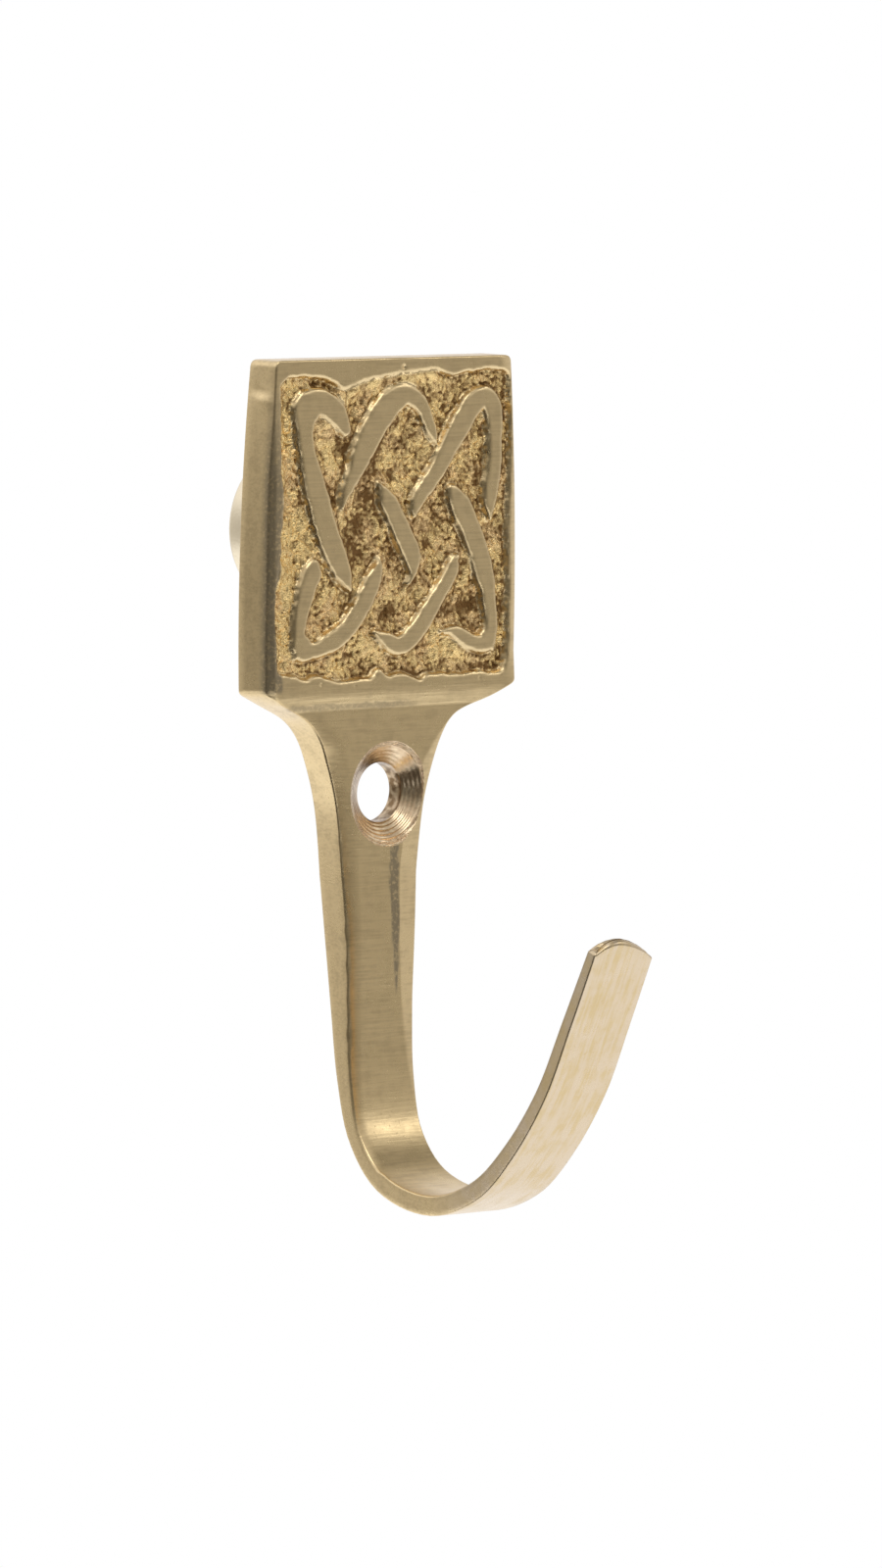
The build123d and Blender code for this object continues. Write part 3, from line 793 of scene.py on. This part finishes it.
def show(shader, output="ShaderNodeOutputMaterial"):
    """Gives a material or the world its finished shader."""
    link(shader, add_node(output).inputs["Surface"])


brass = bpy.data.materials.new("cast_brass")
tree = start_nodes(brass)
place = add_node("ShaderNodeTexCoord").outputs["Object"]
ground_shows, grain_light_and_shade = marked("ground"), marked("crown")
skin_and_shade_shows, arm_shows, turned_shows = marked("stripe"), marked("arm"), marked("turned")

# Brushing lines run across the front, up the arm and along the sides, so they are drawn
# on all three; blotches and specks of dull skin lie over them
brush_lines = noise_over(stretched((0.05, 0.6, 1.0)), 4600, 3, 0.6)
streaks = noise_over(stretched((1.0, 0.12, 0.05)), 2400, 3, 0.6)
clouds = noise_over(place, 420, 3)
blotches = noise_over(place, 900, 4, 0.6)
fine_skin = noise_over(place, 3200, 3, 0.65)
coarse_skin = noise_over(place, 1500, 2)
specks = spread(noise_over(place, 4200, 1), 0.66, 0.74, 0, 1)

# Colour of the flats, then of the ground, then of the dull skin left on the flats and of the
# painted shade on the plate's left facet
lines = blend_value(arm_shows, spread(brush_lines, 0.35, 0.65, -0.45, 0.55),
                    spread(streaks, 0.35, 0.65, -0.5, 0.8))
dulled = combine("ADD", spread(clouds, 0.35, 0.7, -0.2, 0.55),
                 spread(blotches, 0.4, 0.7, -0.2, 0.5), lines, spread(specks, 0, 1, 0, 0.5))
# The arm takes the paler brass as a painted highlight
clean_brass_with_arm_highlight = blend_colour(arm_shows, polished_brass, arm_highlight_brass)
flat_colour = blend_colour(dulled, clean_brass_with_arm_highlight, dull_brass)
# The ground runs from deep brown to golden by its tone: grain, a painted highlight on its crowns,
# and painted shade at the walls' feet, in pockets and in low ground
grain_light_and_shade_share = combine("ADD", spread(grain_light_and_shade, 0.15, 0.78, -0.1, 1.1),
                   spread(coarse_skin, 0.3, 0.7, -0.3, 0.3),
                   spread(fine_skin, 0.3, 0.7, -0.25, 0.25))
rosy = spread(noise_over(place, 520, 2), 0.45, 0.62, 0, 0.5)
crown_colour = blend_colour(rosy, golden_ground, rosy_ground)
ground_colour = blend_colour(grain_light_and_shade_share, deep_ground, crown_colour)
colour = blend_colour(ground_shows, flat_colour, ground_colour)
# The dull skin's colour also paints the shade on the plate's left facet
skin_and_shade_broken = combine("MULTIPLY", skin_and_shade_shows, spread(fine_skin, 0.36, 0.5, 0.35, 1))
colour = blend_colour(skin_and_shade_broken, colour, cast_skin_and_shade)

# The screw hole was turned, and its bore stayed rough. The boss behind is turned too, and its pale
# brass is a painted highlight
apart = add_node("ShaderNodeSeparateXYZ")
link(place, apart.inputs[0])
depth = apart.outputs["Y"]
cone_colour = blend_colour(spread(coarse_skin, 0.35, 0.6, 0, 1), bright_cone, dull_cone)
bore_colour = blend_colour(spread(coarse_skin, 0.4, 0.6, 0, 1), dark_bore, light_bore)
in_bore = spread(depth, BORE_FRONT, BORE_BLEND, 0, 1)
turned_colour = blend_colour(in_bore, cone_colour, bore_colour)
colour = blend_colour(turned_shows, colour, turned_colour)
colour = blend_colour(spread(depth, BOSS_FRONT, BOSS_BLEND, 0, 1), colour, boss_highlight_brass)

# The crowns of the ground's grain glint; its hollows and the dull skin don't
stripe_rough, turned_rough = 0.45, 0.24
rough = combine("ADD", spread(clouds, 0.3, 0.7, 0.25, 0.33), spread(specks, 0, 1, 0, 0.1))
rough = blend_value(ground_shows, rough, spread(grain_light_and_shade_share, 0, 1, 0.5, 0.12))
rough = blend_value(skin_and_shade_broken, rough, stripe_rough)
rough = blend_value(turned_shows, rough, turned_rough)
flat_marks = combine("ADD", spread(brush_lines, 0, 1, 0, 2.2), spread(specks, 0, 1, 0, -0.6))
marks = blend_value(ground_shows, flat_marks, spread(fine_skin, 0.3, 0.7, 0, 13))
bump = add_node("ShaderNodeBump", in_Strength=0.5, in_Distance=0.000012)
link(marks, bump.inputs["Height"])

metal = add_node("ShaderNodeBsdfPrincipled", in_Metallic=1.0)
link(colour, metal.inputs["Base Color"])
link(rough, metal.inputs["Roughness"])
link(bump.outputs["Normal"], metal.inputs["Normal"])
show(metal.outputs["BSDF"])

skin = casting.data
skin.materials.clear()
skin.materials.append(brass)
for face in skin.polygons:
    face.use_smooth = True
    face.material_index = 0
skin.set_sharp_from_angle(angle=SHARP_ANGLE)

# The rim of the countersink stays a crisp edge
edge_of = {tuple(sorted(edge.vertices)): edge for edge in skin.edges}
is_turned = skin.attributes["turned"].data
seen = {}
for face in skin.polygons:
    for key in face.edge_keys:
        if seen.setdefault(key, is_turned[face.index].value) != is_turned[face.index].value:
            edge_of[key].use_edge_sharp = True
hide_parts("wall_hook")
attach(casting, "root")

# The photographer's tent
# The hook hangs over a white table top inside a round light tent. The tent's cloth glows
# where lamps stand behind it and is darkest beside the camera, which gives the metal its
# lighter and darker tones.
FLOOR_Z = -0.2
bpy.ops.mesh.primitive_circle_add(vertices=96, radius=0.6, fill_type="NGON",
                                  location=(0, 0, FLOOR_Z))
floor = bpy.context.object
floor.name = "table_top"
white_top = bpy.data.materials.new("white_table_top")
tree = start_nodes(white_top)


def seen_directly():
    """1 for rays from the camera, and for what metal or glass shows of the scene; else 0."""
    path = add_node("ShaderNodeLightPath")
    kinds = ("Is Camera Ray", "Is Glossy Ray", "Is Transmission Ray")
    return combine("MAXIMUM", *(path.outputs[kind] for kind in kinds))


white_glow = add_node("ShaderNodeEmission", in_Color=(0.485, 0.5, 0.53, 1))
link(seen_directly(), white_glow.inputs["Strength"])
chalk = add_node("ShaderNodeBsdfDiffuse", in_Color=(0.785, 0.8, 0.83, 1))
both = add_node("ShaderNodeAddShader")
link(white_glow.outputs[0], both.inputs[0])
link(chalk.outputs[0], both.inputs[1])
show(both.outputs[0])
floor.data.materials.append(white_top)

# Glow of the cloth: for each azimuth, at these heights above the horizon, in degrees
TENT_RADIUS = 1.8
TENT_STEP = 4
tent_heights = [-22, -4, 12, 28, 45, 78]
tent_glow = {
    -180: [0.85, 0.85, 0.90, 0.95, 0.95, 0.90],
    -160: [0.75, 0.70, 0.85, 1.00, 1.00, 0.90],
    -137: [0.75, 0.50, 0.64, 1.20, 1.20, 0.90],
    -100: [0.22, 0.22, 0.35, 0.95, 1.00, 0.90],
    -70: [0.14, 0.13, 0.22, 0.50, 0.85, 0.90],
    -43: [0.10, 0.10, 0.16, 0.45, 0.85, 0.90],
    0: [0.18, 0.16, 0.22, 0.50, 0.80, 0.90],
    25: [0.50, 0.27, 0.40, 0.65, 0.60, 0.80],
    43: [0.62, 0.32, 0.52, 1.20, 0.45, 0.60],
    63: [0.90, 0.62, 0.68, 0.95, 0.25, 0.50],
    83: [0.90, 0.78, 0.62, 0.50, 0.22, 0.50],
    113: [1.00, 0.90, 0.90, 0.80, 0.50, 0.60],
    137: [1.00, 1.00, 1.00, 0.90, 0.80, 0.80],
    180: [0.85, 0.85, 0.90, 0.95, 0.95, 0.90],
}
warm_cloth, cool_cloth = (1.02, 0.985, 0.93, 1), (0.99, 1.0, 1.07, 1)
across_tent = np.arange(-180, 180, TENT_STEP)
up_tent = np.arange(tent_heights[0], tent_heights[-1] + 1, TENT_STEP)
by_height = [np.interp(up_tent, tent_heights, glow) for glow in tent_glow.values()]
verts, faces, glows = [], [], []
for i, azimuth in enumerate(across_tent):
    a = math.radians(azimuth)
    for k, elevation in enumerate(up_tent):
        e = math.radians(elevation)
        flat = TENT_RADIUS * math.cos(e)
        verts.append((flat * math.sin(a), -flat * math.cos(a), TENT_RADIUS * math.sin(e)))
        glows.append(float(np.interp(azimuth, list(tent_glow), [glow[k] for glow in by_height])))
        if k:
            here = i * len(up_tent) + k
            after = (i + 1) % len(across_tent) * len(up_tent) + k
            faces.append((here - 1, here, after, after - 1))
tent_mesh = bpy.data.meshes.new("light_tent")
tent_mesh.from_pydata(verts, [], faces)
tent_mesh.attributes.new("glow", "FLOAT", "POINT").data.foreach_set("value", glows)
tent = new_object("light_tent", tent_mesh)
tent.visible_camera = False
cloth = bpy.data.materials.new("lit_tent_cloth")
tree = start_nodes(cloth)
lit = add_node("ShaderNodeEmission")
cloth_glow = marked("glow")
link(cloth_glow, lit.inputs["Strength"])
link(blend_colour(spread(cloth_glow, 0.3, 0.9, 0, 1), warm_cloth, cool_cloth), lit.inputs["Color"])
show(lit.outputs[0])
tent_mesh.materials.append(cloth)

# A black card lies low on the hook's left and darkens what faces down that way
bpy.ops.mesh.primitive_plane_add(size=1, location=(-0.24, -0.075, -0.125))
card = bpy.context.object
card.name = "black_card"
card.scale = (0.36, 0.27, 1)
card.visible_camera = False
matt_black = bpy.data.materials.new("matt_black_card")
tree = start_nodes(matt_black)
show(add_node("ShaderNodeBsdfDiffuse", in_Color=(0.06, 0.05, 0.04, 1)).outputs[0])
card.data.materials.append(matt_black)

# White paper behind everything, a little dimmer as a light than it looks
studio = bpy.data.worlds.new("white_studio")
bpy.context.scene.world = studio
tree = start_nodes(studio)
room = add_node("ShaderNodeBackground", in_Strength=0.9, in_Color=(1, 1, 1, 1))
paper = add_node("ShaderNodeBackground", in_Strength=1.0, in_Color=(1, 1, 1, 1))
mixed = add_node("ShaderNodeMixShader")
link(seen_directly(), mixed.inputs[0])
link(room.outputs[0], mixed.inputs[1])
link(paper.outputs[0], mixed.inputs[2])
show(mixed.outputs[0], "ShaderNodeOutputWorld")


def seen_from(azimuth, elevation):
    """The direction out from the hook to an azimuth and a height above the horizon."""
    return Vector((math.sin(azimuth) * math.cos(elevation),
                   -math.cos(azimuth) * math.cos(elevation), math.sin(elevation)))


def softbox(name, azimuth, elevation, distance, size, power):
    """A square soft lamp aimed at the hook."""
    lamp = bpy.data.lights.new(name, "AREA")
    lamp.size = size
    lamp.energy = power
    holder = new_object(name, lamp)
    holder.location = seen_from(math.radians(azimuth), math.radians(elevation)) * distance
    holder.rotation_euler = holder.location.to_track_quat("Z", "Y").to_euler()


softbox("overhead_softbox", azimuth=-20, elevation=60, distance=1.2, size=0.5, power=1.6)
softbox("right_softbox", azimuth=50, elevation=28, distance=1.3, size=0.3, power=0.4)

# The camera
# Low on the left of the hook, with a long lens, turned a touch so that the frame matches.
az, el, roll = math.radians(-43.256), math.radians(4.758), math.radians(0.884)
CAMERA_DISTANCE = 0.935563
AIM_ACROSS, AIM_UP = 0.006252, 0.000674
back = seen_from(az, el)
level = Vector((math.cos(az), math.sin(az), 0))
over = back.cross(level)
side = level * math.cos(roll) + over * math.sin(roll)
up = over * math.cos(roll) - level * math.sin(roll)
spot = level * AIM_ACROSS + Vector((0, 0, AIM_UP)) + back * CAMERA_DISTANCE
camera = new_object("camera", bpy.data.cameras.new("camera"))
camera.data.lens = 253.25
camera.data.sensor_width = 36
camera.data.clip_end = 10
camera.matrix_world = Matrix((
    (side.x, up.x, back.x, spot.x),
    (side.y, up.y, back.y, spot.y),
    (side.z, up.z, back.z, spot.z),
    (0, 0, 0, 1),
))
bpy.context.scene.camera = camera
bpy.context.scene.view_settings.view_transform = "Standard"
